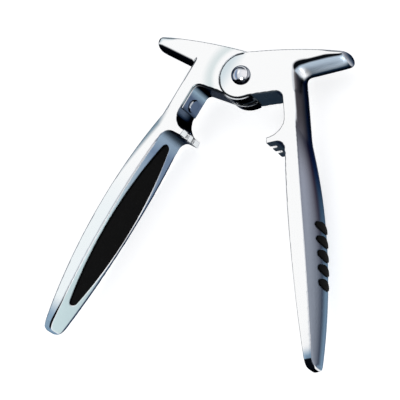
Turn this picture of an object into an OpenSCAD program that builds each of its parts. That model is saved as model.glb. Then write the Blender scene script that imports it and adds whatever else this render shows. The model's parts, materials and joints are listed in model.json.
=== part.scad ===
// Champagne cork pliers: two cast levers on one rivet, with toothed lips, a forked
// leaf spring and rubber grips. The pliers lie flat, front face up, handles toward -Y.
// The pivot axis is Z, and the flat of the rear rivet head is the plane Z = 0.

/* [Levers] */
// Length of a lever from the pivot to the tip, along the flat inner side
lever_len = 152.4; // [146:0.2:158]
// Angle between the flat inner sides of the two handles at rest
open_angle = 38; // [35:0.2:41]
// Distance from the pivot to the line of the flat inner side
side_off = 20.4; // [19.6:0.1:21.6]
// Thickness of the neck along its front and back edges
neck_w = 6.5; // [5.6:0.1:7.2]
// Thickness of the neck at its crest, half-way between front and back
neck_crest = 9.6; // [8.8:0.1:10.4]
// Thickness of the handle at its thickest place, from the flat side to the crest
belly_w = 12.2; // [11.2:0.1:13]
// Thickness of the handle at the tip, from the flat side to the crest
tip_w = 5; // [4.4:0.1:5.6]
// Depth of the handle at its deepest place, from front to back
belly_t = 26.8; // [25.4:0.2:28.4]
// Radius of the round end of the handle, seen from the side
end_r = 7.4; // [6.6:0.1:8.2]
// Depth of the flat that cuts off the round end
end_flat = 0.4; // [0.2:0.1:0.8]
// Distance from the pivot to the deepest place of the handle
belly_at = 82; // [78:0.5:86]
// Radius of the rounded outer side, across the handle at its deepest place
crown_r = 21.4; // [20:0.2:24]
// Bow radius of the front and back, from the neck to the deepest place
depth_bow = 258; // [240:2:270]
// Bow radius of the crest, from the neck to the thickest place
crest_bow = 314; // [300:2:330]
// Radius that eases the neck into the handle
ease_r = 60; // [40:1:80]
// Radius of the tip's corners, seen from the front
tip_r = 2; // [1.6:0.1:2.4]

/* [Head] */
// Depth of the head and neck from front to back
head_t = 16; // [15:0.2:17]
// Radius of the round knuckle ears
ear_r = 11.2; // [10.6:0.1:11.3]
// Distance from the pivot to the top edge of the head
top_h = 12; // [11.9:0.1:12.8]
// Slope of the top edge of the head
top_slope = 12; // [10:0.2:14]
// Bow radius of the top edge of the head
top_bow = 300; // [220:5:500]
// Reach of the horn, from the pivot line to the middle of its end
horn_reach = 54.8; // [53:0.2:58]
// Distance from the pivot line up to the start of the horn's round underside
horn_lift = 0.4; // [0:0.1:0.8]
// Depth of the round underside of the horn
horn_round = 6.1; // [5.7:0.1:6.5]
// Radius of the horn's lower front and back edges
horn_edge_r = 4.4; // [4:0.1:4.8]
// Radius of the rounded top across the head
pillow_r = 22; // [18:0.5:30]
// Radius of the rounded end of the horn, across the head
horn_end_r = 14; // [12:0.5:18]
// Radius of the rounded end of the horn, seen from the front
horn_nose_r = 3.8; // [3.6:0.1:4.2]
// Fillet between the horn and the neck
horn_fillet = 4.2; // [3.4:0.1:4.8]
// Distance from the pivot to the roof of the cork space
roof_drop = 10.6; // [10.2:0.1:10.8]
// Slope of the roof of the cork space
roof_slope = 6.4; // [5:0.2:8]
// Fillet between the roof and the wall of the cork space
roof_fillet = 4; // [3:0.1:5]

/* [Jaw lip] */
// Reach of the lip from the flat inner side
lip_reach = 9.3; // [8.4:0.1:10]
// Distance from the pivot down to the top of the lip
lip_at = 36; // [34.4:0.2:37]
// Thickness of the lip at its teeth
lip_t = 3.2; // [2.6:0.1:3.8]
// Fillet above the lip
lip_fillet = 9; // [7.6:0.1:9.2]
// Fillet below the lip
lip_foot = 5; // [4:0.1:6]
// Distance between teeth
tooth_pitch = 6.4; // [6:0.1:6.6]
// Width of a notch between teeth
notch_w = 2.4; // [1.8:0.1:2.8]
// Depth of a notch between teeth
notch_d = 3.2; // [2.4:0.1:4]

/* [Pivot] */
// Thickness of the centre tongue
tongue_t = 5.2; // [4.4:0.1:6]
// Side gap between the tongue and each ear
tongue_gap = 0.3; // [0.2:0.05:0.5]
// Gap between a round knuckle and the seat round it
seat_gap = 0.4; // [0.3:0.05:0.5]
// Gap at the stop where the open levers meet
stop_gap = 0.3; // [0.2:0.05:0.5]
// Diameter of the rivet's shank
pivot_d = 6; // [5:0.1:7]
// Radial running clearance in the tongue
run_gap = 0.05; // [0.03:0.01:0.08]
// Diameter of the rivet's heads
rivet_head_d = 9.6; // [8.8:0.1:10.4]
// Height of the domed front head
dome_h = 4.6; // [4:0.1:5]
// Height of the flattened rear head
rear_h = 2; // [1.6:0.1:2.4]

/* [Leaf spring] */
// Thickness of the strip
strip_t = 0.8; // [0.6:0.05:0.9]
// Width of the strip
strip_w = 14.6; // [13.6:0.1:14.8]
// Width of the slit between the two fingers
slit_w = 4; // [3:0.1:5]
// Distance of the slit's end from the middle of the knuckle
slit_from = 3; // [2:0.2:4]
// Radius of the bend between the roof and the fingers
bend_r = 6; // [5:0.2:7]
// Gap between the fingers and the round ears
finger_gap = 0.4; // [0.3:0.05:0.6]
// Gap between the finger tips and the right roof at rest
touch_gap = 0.3; // [0.2:0.05:0.5]
// Distance from the end of the strip up to its rivet
strip_rivet_up = 4.2; // [3.6:0.1:5]
// Diameter of the strip's rivet head
strip_rivet_d = 7; // [6:0.1:7.6]
// Height of the strip's rivet head
strip_rivet_h = 0.9; // [0.6:0.1:1.2]
// Diameter of the strip's rivet shank
strip_shank_d = 3; // [2.4:0.1:3.6]
// Depth of the rivet's hole in the lever
strip_shank_l = 4.5; // [3.6:0.1:5]

/* [Grips] */
// Length of the grip pad
pad_l = 90; // [84:0.5:94]
// Width of the grip pad
pad_w = 19.8; // [18:0.2:21]
// Distance from the pivot to the middle of the grip pad
pad_at = 90.8; // [89.6:0.2:92]
// End radius of the grip pad
pad_end_r = 3; // [2.4:0.1:3.6]
// Depth of the pocket for the grip pad
pad_pocket = 1.2; // [0.8:0.1:1.6]
// Height of the grip pad above the flat side
pad_proud = 0.5; // [0.3:0.1:0.8]
// Number of nubs on each handle
nub_count = 5; // [5:5]
// Distance from the pivot to the first nub
nub_at = 84; // [82:0.2:86]
// Distance between nubs
nub_pitch = 7.05; // [6.8:0.05:7.4]
// Length of the first nub, across the handle
nub_l = 13.4; // [12.4:0.1:14.4]
// Loss of length from each nub to the next
nub_step = 0.5; // [0.3:0.05:0.6]
// Width of a nub
nub_w = 5; // [4.4:0.1:5.6]
// End radius of a nub
nub_end_r = 1.4; // [1.2:0.1:1.8]
// Depth of a nub's pocket below the crest at the first nub
nub_pocket = 3; // [2.6:0.1:3.4]
// Height of a nub above the rounded outer side
nub_proud = 0.6; // [0.4:0.1:0.9]
// Gap round the pads, nubs and strip in their seats
fit_gap = 0.05; // [0.03:0.01:0.1]

/* [Hidden] */
fine = 120;
large = 720;
eps = 0.02;
wide = 200;
// How far a cutting shape reaches past the part, and how far joined shapes lap
spare = 40;
lap = 1;
// Steps along the arcs of the bent strip
corner_steps = 16;
bend_steps = 10;
ring_steps = 40;
chrome = "#d9dde2";
rubber = "#141414";
steel = "#3c4450";
bright = "#eef1f4";

// Height of the middle plane of the levers
mid_z = rear_h + head_t / 2;
// Axis of the rounded outer side, and its radius at the neck and at the tip
crown_x = side_off + belly_w - crown_r;
neck_r = norm([side_off + neck_w - crown_x, head_t / 2]) - lap / 2;
neck_bar_r = (pow(neck_crest - neck_w, 2) + pow(head_t / 2, 2)) / (2 * (neck_crest - neck_w));
tip_crown_r = side_off + tip_w - crown_x;
// Middle of the bowed top, and half the chord of its round section
top_mid = (horn_reach - side_off) / 2;
pillow_edge = sqrt(pow(pillow_r, 2) - pow(head_t / 2, 2));
// Seats round the knuckle
seat_r = ear_r + seat_gap;
slot_t = tongue_t + 2 * tongue_gap;
// Angle of the top foot and the roof foot, seen from the pivot
top_foot = 90 - top_slope;
roof_foot = -90 - roof_slope;
// Angle between the two levers' own frames, seen from one of them
fold = 180 - open_angle;
// The strip ends where the fillet above the lip starts, with its rivet just above
strip_end = lip_at - lip_fillet;
strip_rivet_at = strip_end - strip_rivet_up;

// Place a lever shape on its side of the pliers
module on_right() {
    translate([0, 0, mid_z]) rotate([0, 0, open_angle / 2]) children();
}
module on_left() {
    mirror([1, 0, 0]) on_right() children();
}

// Bow radius of a long belly that ends square at a given width from its middle
function square_bow(belly, tip) =
    (pow(lever_len - belly_at, 2) + pow(belly - tip, 2)) / (2 * (belly - tip));

// Bow radius of a long belly that runs into a round end
function round_bow(reach, belly, end) =
    (pow(reach, 2) + pow(belly, 2) - pow(end, 2)) / (2 * (belly - end));

// Half-length profile along a lever: a straight bar that eases into a long round belly.
// The lever runs along -Y from the pivot, and the shape lies between x = 0 and the profile.
// The belly has one bow toward the neck and another bow, the tail, toward the tip.
module belly_profile(bar, belly, bow, tail) {
    centre = belly - bow;
    ease_y = sqrt(pow(bow + ease_r, 2) - pow(bar + ease_r - centre, 2));
    joint = bow / (bow + ease_r);
    intersection() {
        translate([centre, -belly_at]) circle(r = bow, $fn = large);
        translate([0, -belly_at]) square([wide, belly_at]);
    }
    intersection() {
        translate([belly - tail, -belly_at]) circle(r = tail, $fn = large);
        translate([0, -lever_len - spare]) square([wide, lever_len + spare - belly_at]);
    }
    translate([0, -belly_at]) square([bar, belly_at]);
    difference() {
        polygon([[bar - lap, ease_y - belly_at], [bar, ease_y - belly_at],
                 [centre + joint * (bar + ease_r - centre), joint * ease_y - belly_at],
                 [bar - lap, joint * ease_y - belly_at]]);
        translate([bar + ease_r, ease_y - belly_at]) circle(r = ease_r, $fn = large);
    }
}

// Depth of a lever: the head's plates and the long belly, seen from the side
module depth_body() {
    end_at = lever_len + end_flat - end_r;
    tail = round_bow(end_at - belly_at, belly_t / 2, end_r);
    reach = (end_at - belly_at) * tail / (tail - end_r);
    rotate([0, 90, 0]) linear_extrude(height = wide, center = true) {
        intersection() {
            union() {
                belly_profile(head_t / 2, belly_t / 2, depth_bow, tail);
                mirror([1, 0]) belly_profile(head_t / 2, belly_t / 2, depth_bow, tail);
            }
            translate([-wide / 2, -belly_at - reach]) square([wide, wide]);
        }
        translate([0, -end_at]) circle(r = end_r, $fn = fine);
    }
}

// Rounded outer side of the neck and handle, proud by a given amount
module crown_body(proud) {
    translate([crown_x, 0, 0]) rotate([90, 0, 0]) rotate_extrude($fn = large)
        mirror([0, 1]) translate([proud, 0]) union() {
            belly_profile(neck_r, crown_r, crest_bow, square_bow(crown_r, tip_crown_r));
            translate([-proud, -lever_len - spare]) square([proud + eps, lever_len + spare]);
        }
}

// Neck with a round outer side, which runs into the handle
module neck() {
    start = horn_lift + horn_edge_r;
    length = start + belly_at - head_t;
    intersection() {
        translate([side_off + neck_crest - neck_bar_r, start, 0]) rotate([90, 0, 0])
            cylinder(r = neck_bar_r, h = length, $fn = fine);
        translate([side_off + lap, start - length, -head_t / 2]) cube([spare, length, head_t]);
    }
}

// Cork space of one lever, seen from the front
module cork_space() {
    roof_y = -roof_drop / cos(roof_slope);
    corner_x = side_off - roof_fillet;
    corner_y = roof_y - corner_x * tan(roof_slope) - roof_fillet / cos(roof_slope);
    lip_x = side_off - lip_fillet;
    lip_y = -lip_at + lip_fillet;
    polygon([[-spare, roof_y + spare * tan(roof_slope)],
             [corner_x + roof_fillet * sin(roof_slope), corner_y + roof_fillet * cos(roof_slope)],
             [corner_x, corner_y], [side_off, corner_y], [side_off, lip_y],
             [lip_x, lip_y], [lip_x, -lip_at], [-spare, -lip_at]]);
    translate([corner_x, corner_y]) circle(r = roof_fillet, $fn = fine);
    translate([lip_x, lip_y]) circle(r = lip_fillet, $fn = fine);
}

// Neck, lip and handle, seen from the front
module blade_outline() {
    lip_x = side_off - lip_reach;
    foot_y = -lip_at - lip_t - lip_foot;
    difference() {
        union() {
            translate([side_off, -lever_len + tip_r]) square([spare, lever_len - tip_r - lap]);
            translate([lip_x, foot_y]) square([lip_reach + lap, lip_t + lip_foot + lip_fillet]);
            translate([side_off + tip_r, -lever_len + tip_r]) circle(r = tip_r, $fn = fine);
            translate([side_off + tip_r, -lever_len]) square([spare, tip_r + lap]);
        }
        translate([side_off - lip_foot, foot_y]) circle(r = lip_foot, $fn = fine);
        translate([lip_x - lap, foot_y - lap]) square([lip_reach - lip_foot + lap, lip_foot + lap]);
        translate([lip_x - lap, foot_y - lip_foot]) square([lip_reach + lap, lip_foot]);
        cork_space();
        difference() {
            translate([side_off + tip_r, -lever_len - lap]) square([2 * spare, tip_r + lap]);
            translate([side_off + tip_w - tip_r, -lever_len + tip_r]) circle(r = tip_r, $fn = fine);
            translate([side_off, -lever_len]) square([tip_w - tip_r, tip_r]);
        }
    }
}

// Plate of the head from the pivot to the neck, seen from the front
module head_outline() {
    neck_x = side_off + neck_w;
    under = horn_lift - 2 * fit_gap;
    foot = (top_h + ear_r) * [cos(top_foot), sin(top_foot)];
    difference() {
        union() {
            polygon([[0, 0], foot, [neck_x + horn_fillet, foot[1]],
                     [neck_x + horn_fillet, under], [neck_x - lap, under],
                     [neck_x - lap, -roof_drop - ear_r], [0, -roof_drop - ear_r / 2]]);
            difference() {
                translate([neck_x - lap, under - horn_fillet]) square([horn_fillet + lap, horn_fillet + lap]);
                translate([neck_x + horn_fillet, under - horn_fillet]) circle(r = horn_fillet, $fn = fine);
            }
        }
        cork_space();
    }
}

// Height of the crest of the head's top at a distance from the pivot
function crest_at(x) =
    let (along = x * cos(top_slope),
         rise = top_h + pillow_r - pillow_edge + (pow(top_mid, 2) - pow(along - top_mid, 2)) / (2 * top_bow))
    rise * cos(top_slope) - along * sin(top_slope);

// Rounded top of the head: a long barrel under the top edge
module top_body() {
    half = top_mid + 2 * side_off;
    rotate([0, 0, -top_slope]) translate([top_mid, top_h - pillow_edge + pow(top_mid, 2) / (2 * top_bow), 0])
        rotate([0, 90, 0]) rotate_extrude($fn = large) intersection() {
            translate([pillow_r - top_bow, 0]) circle(r = top_bow, $fn = large);
            translate([0, -half]) square([pillow_r + lap, 2 * half]);
        }
}

// Section across the horn, with a round underside and rounded lower edges
module horn_section() {
    intersection() {
        oval(head_t, 2 * horn_round, horn_edge_r);
        translate([-wide, -wide / 2]) square([wide, wide]);
    }
    translate([0, -head_t / 2]) square([spare, head_t]);
}

// Horn that stands out from the head, with a rounded underside and end
module horn() {
    root = side_off + 2 * lap;
    nose_x = horn_reach - horn_nose_r;
    nose_y = (crest_at(nose_x) + horn_lift - horn_round) / 2;
    intersection() {
        translate([root, horn_lift, 0]) rotate([90, 0, 90])
            linear_extrude(height = horn_reach) horn_section();
        top_body();
        translate([horn_reach - horn_end_r, -spare, 0]) rotate([-90, 0, 0]) union() {
            cylinder(r = horn_end_r, h = 2 * spare, $fn = fine);
            translate([-horn_reach, -head_t, 0]) cube([horn_reach, 2 * head_t, 2 * spare]);
        }
        translate([0, 0, -head_t]) linear_extrude(height = 2 * head_t) {
            translate([0, -spare]) square([nose_x, 2 * spare]);
            translate([nose_x, nose_y]) circle(r = horn_nose_r, $fn = fine);
        }
    }
}

// Half turn past the stop, where the other lever's head stands at rest
module past_stop() {
    rotate([0, 0, fold - top_foot - 90]) translate([-spare, 0]) square([spare + stop_gap, spare]);
}

// Space that the other lever's knuckle sweeps, between two heights
module knuckle_space(low, high) {
    translate([0, 0, low]) linear_extrude(height = high - low) {
        circle(r = seat_r, $fn = fine);
        past_stop();
    }
}

// Long oval made of two side arcs and two end arcs, along Y
module oval(length, width, end_r) {
    reach = length / 2 - end_r;
    side_r = (pow(reach, 2) + pow(width / 2, 2) - pow(end_r, 2)) / (width - 2 * end_r);
    side_x = side_r - width / 2;
    band = reach * side_r / (side_r - end_r);
    intersection() {
        translate([side_x, 0]) circle(r = side_r, $fn = large);
        translate([-side_x, 0]) circle(r = side_r, $fn = large);
        translate([-width, -band]) square([2 * width, 2 * band]);
    }
    for (s = [-1, 1]) translate([0, s * reach]) circle(r = end_r, $fn = fine);
}

// Grip pad shape, grown all round by a gap, from its floor to a height above the flat side
module pad_shape(gap, above) {
    translate([side_off - above, -pad_at, 0]) rotate([0, 90, 0])
        linear_extrude(height = pad_pocket + above)
            oval(pad_l + 2 * gap, pad_w + 2 * gap, pad_end_r + gap);
}

// Nub shape number i, grown all round by a gap, from its floor outward
module nub_shape(i, gap) {
    at = nub_at + (i - 1) * nub_pitch;
    bow = square_bow(crown_r, tip_crown_r);
    crest = side_off + belly_w - bow + sqrt(pow(bow, 2) - pow(at - belly_at, 2));
    translate([crest - nub_pocket, -at, 0]) rotate([0, 90, 0])
        linear_extrude(height = 2 * nub_pocket) rotate([0, 0, 90])
            oval(nub_l - (i - 1) * nub_step + 2 * gap, nub_w + 2 * gap, nub_end_r + gap);
}

// Cast lever without its knuckle
module lever_body() {
    difference() {
        union() {
            intersection() {
                translate([0, 0, -wide / 2]) linear_extrude(height = wide) blade_outline();
                depth_body();
                crown_body(0);
            }
            neck();
            intersection() {
                translate([0, 0, -head_t / 2]) linear_extrude(height = head_t) head_outline();
                top_body();
            }
            horn();
        }
        for (s = [-0.5, 0.5]) tooth_notch(s * tooth_pitch);
        pad_shape(fit_gap, lap);
        for (i = [1:nub_count]) nub_shape(i, fit_gap);
    }
}

// Round-bottomed notch between two teeth
module tooth_notch(at) {
    bottom = side_off - lip_reach + notch_d - notch_w / 2;
    translate([bottom, 0, at]) rotate([90, 0, 0]) translate([0, 0, lip_at - lip_fillet])
        linear_extrude(height = lip_fillet + lip_t + lip_foot) {
            circle(d = notch_w, $fn = fine);
            translate([-lip_reach, -notch_w / 2]) square([lip_reach, notch_w]);
        }
}

// Right lever: the knuckle has two ears
module right_arm() {
    color(chrome) on_right() difference() {
        union() {
            difference() {
                lever_body();
                knuckle_space(-slot_t / 2, slot_t / 2);
            }
            for (s = [0, 1]) mirror([0, 0, s]) translate([0, 0, slot_t / 2])
                cylinder(r = ear_r, h = (head_t - slot_t) / 2, $fn = fine);
        }
        cylinder(d = pivot_d + 2 * eps, h = 2 * head_t, center = true, $fn = fine);
    }
}

// Left lever: the knuckle is one centre tongue
module left_arm() {
    color(chrome) on_left() difference() {
        union() {
            difference() {
                lever_body();
                knuckle_space(tongue_t / 2, head_t);
                knuckle_space(-head_t, -tongue_t / 2);
            }
            cylinder(r = ear_r, h = tongue_t, center = true, $fn = fine);
        }
        cylinder(d = pivot_d + 2 * run_gap, h = 2 * head_t, center = true, $fn = fine);
        translate([side_off - lap, -strip_rivet_at, 0]) rotate([0, 90, 0])
            cylinder(d = strip_shank_d + 2 * fit_gap, h = strip_shank_l + lap, $fn = fine);
    }
}

// Pivot rivet: domed front head, shank and flattened rear head
module pivot_rivet() {
    head_r = rivet_head_d / 2;
    dome_r = (pow(head_r, 2) + pow(dome_h, 2)) / (2 * dome_h);
    color(bright) union() {
        translate([0, 0, rear_h - eps]) cylinder(d = pivot_d, h = head_t + 2 * eps, $fn = fine);
        intersection() {
            translate([0, 0, rear_h + head_t + dome_h - dome_r]) sphere(r = dome_r, $fn = fine);
            translate([0, 0, rear_h + head_t]) cylinder(r = 2 * head_r, h = 2 * dome_h, $fn = fine);
        }
        intersection() {
            translate([0, 0, rear_h - dome_h + dome_r]) sphere(r = dome_r, $fn = fine);
            cylinder(r = 2 * head_r, h = rear_h, $fn = fine);
        }
    }
}

// Points along an arc
function arc(centre, radius, from, to, steps) =
    [for (i = [0:steps]) let (a = from + (to - from) * i / steps) centre + radius * [cos(a), sin(a)]];

// Both faces of the bent strip, seen from the front, in the lever's own frame
function strip_face(off) =
    let (roof = roof_drop + fit_gap + strip_t / 2,
         wall = side_off - fit_gap - strip_t / 2,
         ring = ear_r + finger_gap + strip_t / 2,
         corner_r = roof_fillet - fit_gap - strip_t / 2,
         corner_x = side_off - roof_fillet,
         corner_y = -roof_drop / cos(roof_slope) - corner_x * tan(roof_slope) - roof_fillet / cos(roof_slope),
         along = sqrt(pow(ring + bend_r, 2) - pow(roof + bend_r, 2)),
         turn = atan2(along, roof + bend_r),
         bend = [cos(roof_foot) * (roof + bend_r) + cos(roof_slope) * along,
                 sin(roof_foot) * (roof + bend_r) - sin(roof_slope) * along],
         inside = ear_r + finger_gap,
         last = -180 - roof_foot - open_angle - acos(roof_drop / inside) + touch_gap / inside * 180 / PI)
    concat([[wall + off, -strip_end]],
           arc([corner_x, corner_y], corner_r + off, 0, roof_foot + 180, corner_steps),
           arc(bend, bend_r + off, roof_foot + 180, roof_foot + 180 + turn, bend_steps),
           arc([0, 0], ring - off, roof_foot + turn, last, ring_steps));

// Forked leaf spring
module leaf_spring() {
    face = strip_face(strip_t / 2);
    back = strip_face(-strip_t / 2);
    count = len(face);
    color(steel) on_left() difference() {
        linear_extrude(height = strip_w, center = true)
            polygon(concat(face, [for (i = [0:count - 1]) back[count - 1 - i]]));
        rotate([0, 0, roof_foot]) fork_slit();
        translate([side_off - strip_shank_l, -strip_rivet_at, 0]) rotate([0, 90, 0])
            cylinder(d = strip_shank_d + 2 * fit_gap, h = 2 * strip_shank_l, $fn = fine);
    }
}

// Slit that parts the fingers, from the bend to their tips
module fork_slit() {
    translate([0, slit_from - wide, -slit_w / 2]) cube([wide, wide, slit_w]);
    translate([0, slit_from, 0]) rotate([0, 90, 0]) cylinder(d = slit_w, h = wide, $fn = fine);
}

// Rivet of the leaf spring
module spring_rivet() {
    face = side_off - fit_gap - strip_t;
    color(steel) on_left() translate([face, -strip_rivet_at, 0]) rotate([0, 90, 0]) union() {
        cylinder(d = strip_shank_d, h = strip_t + strip_shank_l, $fn = fine);
        translate([0, 0, -strip_rivet_h]) cylinder(d1 = strip_rivet_d - strip_rivet_h, d2 = strip_rivet_d,
                                                   h = strip_rivet_h, $fn = fine);
    }
}

// Rubber pad in the flat side of a handle
module grip_pad() {
    color(rubber) pad_shape(0, pad_proud);
}

// Rubber nub in the outer side of a handle
module nub(i) {
    color(rubber) intersection() {
        nub_shape(i, 0);
        crown_body(nub_proud);
    }
}

left_arm();
right_arm();
pivot_rivet();
leaf_spring();
spring_rivet();
on_left() grip_pad();  // left_grip_pad
on_right() grip_pad();  // right_grip_pad
for (i = [1:nub_count]) {
    on_left() nub(i);
    on_right() nub(i);
}
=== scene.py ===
"""Looks of a champagne opener: soft-edged chrome castings, blued spring steel and moulded rubber.

The opener lies flat with its polished front up, and its handles point toward -Y. Each lever has a frame of
its own from the pivot: Out points away from the other lever, Along points up the lever, so that the handle
lies at negative values, and Height is the height in the model.
"""

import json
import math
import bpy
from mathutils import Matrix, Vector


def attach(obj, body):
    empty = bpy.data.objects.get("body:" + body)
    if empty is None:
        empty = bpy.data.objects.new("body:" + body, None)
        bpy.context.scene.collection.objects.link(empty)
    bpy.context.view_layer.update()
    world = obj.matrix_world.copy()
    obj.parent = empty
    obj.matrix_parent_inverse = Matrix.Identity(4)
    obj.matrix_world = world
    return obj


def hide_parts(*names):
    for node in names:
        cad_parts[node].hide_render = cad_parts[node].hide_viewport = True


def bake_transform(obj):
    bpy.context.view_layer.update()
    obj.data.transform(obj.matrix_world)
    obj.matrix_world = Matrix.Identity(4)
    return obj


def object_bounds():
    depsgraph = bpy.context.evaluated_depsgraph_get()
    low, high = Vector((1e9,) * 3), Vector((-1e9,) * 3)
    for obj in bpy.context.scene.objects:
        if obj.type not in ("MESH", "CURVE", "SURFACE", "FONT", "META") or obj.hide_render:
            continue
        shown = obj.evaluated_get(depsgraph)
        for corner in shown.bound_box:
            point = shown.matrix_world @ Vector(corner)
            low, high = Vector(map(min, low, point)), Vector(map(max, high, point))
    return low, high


bl_info = {
    "name": "Champagne opener looks",
    "version": (1, 0, 0),
    "blender": (4, 5, 0),
    "location": "3D View > Sidebar > Opener",
    "description": "Dresses the solids of a champagne opener and sets its studio stage",
    "category": "Object",
}

import bpy
from bpy.props import FloatProperty, FloatVectorProperty, IntProperty, PointerProperty
from bpy.types import Operator, Panel, PropertyGroup
from mathutils import Matrix, Vector
from mathutils.kdtree import KDTree

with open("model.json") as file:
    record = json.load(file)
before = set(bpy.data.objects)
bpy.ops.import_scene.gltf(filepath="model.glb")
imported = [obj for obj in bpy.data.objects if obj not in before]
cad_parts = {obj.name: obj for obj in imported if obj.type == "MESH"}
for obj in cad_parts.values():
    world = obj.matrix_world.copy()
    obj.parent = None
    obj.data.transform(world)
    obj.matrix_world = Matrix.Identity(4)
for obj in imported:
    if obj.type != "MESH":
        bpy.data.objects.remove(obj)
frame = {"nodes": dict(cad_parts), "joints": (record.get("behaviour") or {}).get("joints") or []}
CAD_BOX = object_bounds()
MM = 0.001
# The side of the middle line that each lever lies on
SIDES = {"left": -1.0, "right": 1.0}
NUB_COUNT = 5
MID_HEIGHT = frame["joints"][0]["pos_m"][2]

# Vertices nearer than this are one vertex
MERGE = 2e-6
# Edges that turn by more than this are sharp
SHARP = math.radians(28)
# Points on a sharp edge for each step of the mesh
EDGE_POINTS = 3
# A vertex within this share of a step from a sharp edge moves onto it
SNAP = 0.7
# Strength of one rounding pass
ROUNDING = 0.5
# Least smoothing anywhere on a piece, which evens out its mesh
EVEN = 0.008

# Zones of a casting that are rounded alike, in its lever's own frame
KNUCKLE_RADIUS = 13 * MM
NUBS_TOP = -76 * MM
NUBS_HALF_WIDTH = 8.5 * MM
NUBS_OUT = 5 * MM
TIP_TOP = -118 * MM
HORN_LOW = -15 * MM
HORN_OUT = 4 * MM
HORN_MIDDLE = 3 * MM
END_START = 42 * MM
END_LENGTH = 9 * MM
SADDLE_START = 37 * MM
SADDLE_LENGTH = 5 * MM
HEAD_LOW = -6 * MM
OUTER_OUT = 3.5 * MM
FRONT_HEIGHT = 6.5 * MM
NECK_MIDDLE = -42 * MM
NECK_HALF_LENGTH = 28 * MM
RIM_TOP = -46 * MM
# Softness of the edges in those zones
CRISP = 0.01
TIP_SOFT = 0.14
TIP_LEAST = 0.10
HEAD_SOFT = 0.05
HORN_LEAST = 0.12
FRONT_SOFT = 0.09
OUTER_SOFT = 0.16
RIM_SOFT = 0.20
JAW_SOFT = 0.06
# What the horn's end, its saddle and the neck add to the softness, to the reach and to the least softness
END_SOFT = 0.9
END_REACH = 0.8
SADDLE_SOFT = 0.95
SADDLE_REACH = 1.2
NECK_SOFT = 0.6
NECK_REACH = 0.6
NECK_LEAST = 0.7
# Share of the saddle's rounding that each horn has
SADDLE_SHARE = {"left": 0.2, "right": 1.0}

# Where each of the castings' painted shades, reflections and highlights, and each zone, starts and where it
# is full, in millimetres along a lever
HEAD_TOP_SPAN = (-8.0, 0.0)
SHOULDER_TOP_SPAN = (-26.0, -40.0)
SHOULDER_LOW_SPAN = (-80.0, -66.0)
NECK_TOP_SPAN = (-68.0, -22.0)
RIM_SPAN = (-46.0, -50.0)
BEVEL_TOP_SPAN = (-52.0, -80.0)
BEVEL_LOW_SPAN = (-138.0, -132.0)
HANDLE_SPAN = (-50.0, -72.0)
BAND_SPAN = (-55.0, -90.0)
GRIP_SPAN = (-55.0, -115.0)
RIM_END_SPAN = (-112.0, -138.0)
TIP_SPAN = (-128.0, -138.0)
LEFT_TURN_SPAN = (-134.0, -146.0)
RIGHT_TURN_SPAN = (-142.0, -147.5)
DARK_LINE_TOP_SPAN = (-110.0, -135.0)
DARK_LINE_LOW_SPAN = (-151.5, -150.0)
# The same outward from the pivot
FORK_SPAN = (3.5, 0.5)
EAR_SIDE_SPAN = (2.0, 10.0)
LIP_SPAN = (16.0, 12.5)
HORN_SPAN = (20.0, 23.0)
HORN_UNDER_SPAN = (18.0, 22.0)
HORN_FAR_SPAN = (36.0, 46.0)
HORN_END_SPAN = (42.0, 46.0)
ROOT_SPAN = (31.4, 30.4)
SHOULDER_SPAN = (23.2, 26.0)
DARK_LINE_SPAN = (20.55, 20.25)
# The same in height, above the bowed edges and away from a place
ROOT_HEIGHT_SPAN = (16.4, 15.6)
BACK_HALF_SPAN = (14.0, 4.0)
BEVEL_FRONT_SPAN = (0.3, -0.1)
BEVEL_BACK_SPAN = (-1.7, -1.2)
BACK_LINE_SPAN = (2.6, 1.7)
DISH_INSIDE_SPAN = (13.5, 16.5)
DISH_OUTSIDE_SPAN = (22.0, 16.5)
EAR_SPAN = (11.5, 11.2)
CORNER_HIGHLIGHT_SPAN = (4.2, 1.2)
# Bowed edges: where along the lever they are lowest, their height there and their curve
HANDLE_BACK = (-83.0, -3.4, 0.0015)
PAD_BACK = (-90.8, 0.1, 0.00368)
# Places in a lever's own frame
PIVOT = {"Out": 0.0, "Along": 0.0}
# Middle of the painted highlight in the hollow between horn and neck
HORN_CORNER = {"Out": 30.8, "Along": -5.0, "Height": 13.6}
# Crest of the neck's outer side, and the height from it to the front
CREST_HEIGHT = 10.1
CREST_RISE = 11.5
# Middle of the painted shade on the left shoulder, and how fast that painted shade narrows from there
SHOULDER_MIDDLE = -40.0
SHOULDER_TAPER = 0.11
# Where the painted dark line at the left tip widens, and by how much
DARK_LINE_WIDENS = (-130.0, -148.0)
DARK_LINE_WIDTH = 1.1

# Tint of metal that is seen at a grazing angle
GRAZING = (0.20, 0.22, 0.26, 1)
# Low and high values of a noise, at which a roughness has its own low and high values
NOISE_SPAN = (0.3, 0.7)
# Scale of the patches' noise, as a share of the fine grain's
PATCH_SCALE = 0.06
EVEN_STRETCH = (1.0, 1.0, 1.0)
# Brightness of the rubber's patches and of the floor's grain, against the colour round them
RUBBER_PATCHES = 1.8
FLOOR_GRAIN = 0.985
# Directions that the domed rivet's painted highlight, painted shadow and painted blue reflection face
CROWN_DIRECTION = (0.59, -0.165, 0.79)
SHADOW_DIRECTION = (0.27, -0.87, -0.41)
SHEEN_DIRECTION = (-0.873, -0.242, 0.424)
# Sockets of a Mix node: the share, the two ends and the result
MIX_SOCKETS = {"FLOAT": (0, 2, 3, 0), "RGBA": (0, 6, 7, 2)}
# Where each light of the room starts and where it is full, by how much a direction points at it
SKY_SPAN = (0.20, 0.75)
SIDE_LIGHT_SPAN = (0.50, 0.90)
LOW_LIGHT_SPAN = (0.78, 0.90)
KEY_LIGHT_SPAN = (0.78, 0.93)
OVERHEAD = (0.0, 0.0, 1.0)
FLOOR_SIZE = 8.0
SENSOR_WIDTH = 36.0


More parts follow.
